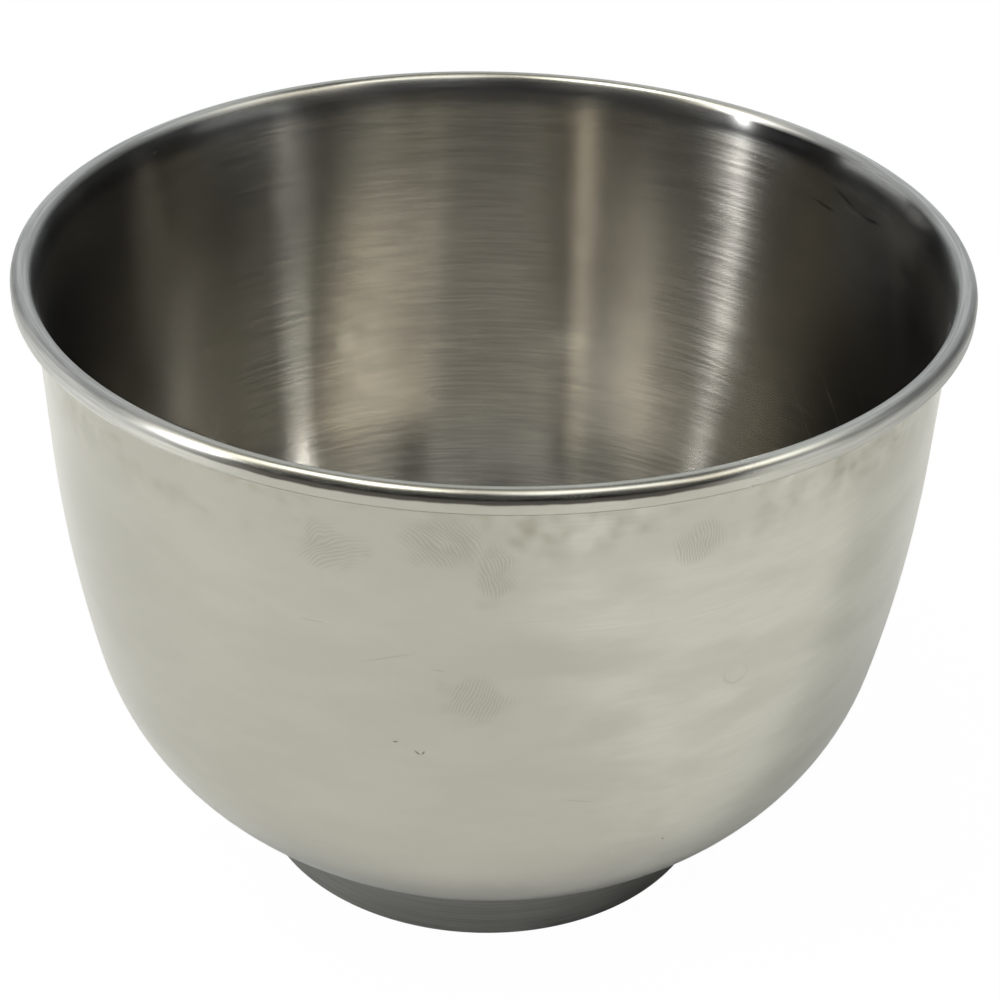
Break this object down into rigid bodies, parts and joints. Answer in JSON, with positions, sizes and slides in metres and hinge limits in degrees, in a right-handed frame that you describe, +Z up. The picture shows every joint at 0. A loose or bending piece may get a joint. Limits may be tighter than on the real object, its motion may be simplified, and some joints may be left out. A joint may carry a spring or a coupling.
{
  "type": "stand mixer bowl",
  "caption": "Deep steel mixing bowl with a near-upright wall, rounded bottom corner, outward rolled rim and a short welded foot ring that stands on a mixer's turntable.",
  "frame": {"origin": "on the bowl's axis, at the height of the table that the foot ring stands on", "axes": "+Z up along the bowl's axis, towards its mouth; the bowl is round, so X and Y are any two level directions at right angles"},
  "size_m": [0.167, 0.167, 0.12],
  "materials": {
    "bowl_body": "polished outside with fine wear marks, brushed round the inside",
    "foot_ring": "dull satin"
  },
  "bodies": {
    "root": {"bowl_body": "bowl_body", "foot_ring": "foot_ring"}
  },
  "joints": []
}
